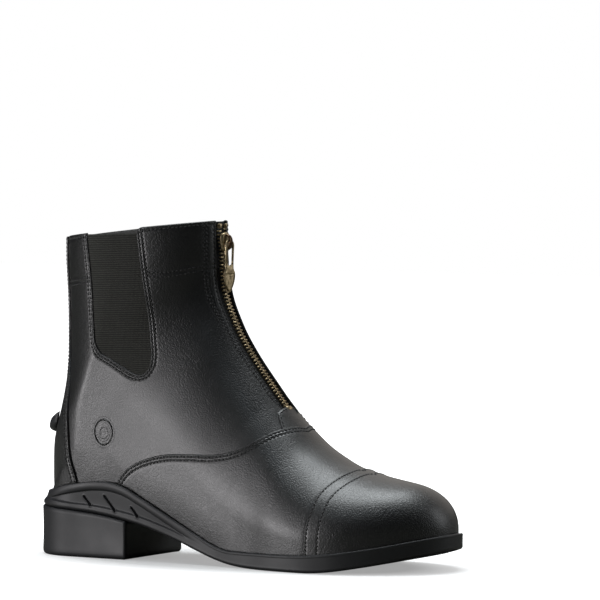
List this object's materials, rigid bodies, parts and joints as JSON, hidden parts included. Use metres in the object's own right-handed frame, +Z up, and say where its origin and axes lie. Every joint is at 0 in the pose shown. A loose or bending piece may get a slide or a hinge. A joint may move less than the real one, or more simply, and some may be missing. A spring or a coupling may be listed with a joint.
{
  "type": "paddock boot",
  "caption": "Black leather paddock boot for the right foot: ankle height, front zip with a hinged pull, elastic side gores, toe cap, rubber unit sole and low heel.",
  "frame": {"origin": "on the floor under the middle of the boot's bounding box", "axes": "+X towards the toe, +Y towards the inner side of the foot, +Z up; the boot stands on its heel and forefoot"},
  "size_m": [0.2722, 0.0962, 0.2002],
  "materials": {
    "leather": "satin black, fine pebble grain",
    "elastic": "matt ribbed elastic webbing",
    "sole_rubber": "semi-matt moulded rubber",
    "insole_cloth": "matt cloth over foam",
    "zip_tape": "matt woven tape",
    "zip_metal": "antique brass, satin"
  },
  "bodies": {
    "boot": {"upper": "leather", "vamp": "leather", "toe_cap": "leather", "backstay": "leather", "zip_end_patch": "leather", "gore_outer": "elastic", "gore_inner": "elastic", "outsole": "sole_rubber", "heel": "sole_rubber", "insole": "insole_cloth", "spur_rest": "sole_rubber", "zip_tape": "zip_tape", "zip_chain": "zip_metal", "zip_bottom_stop": "zip_metal", "zip_top_stop_outer": "zip_metal", "zip_top_stop_inner": "zip_metal", "zip_slider": "zip_metal"},
    "pull_tab": {"zip_pull": "zip_metal"}
  },
  "joints": [
    {"name": "pull_swing", "type": "hinge", "parent": "boot", "child": "pull_tab", "pos_m": [-0.01249, 0.00054, 0.18739], "axis": [0, -1, 0], "range_deg": [0, 160]}
  ]
}
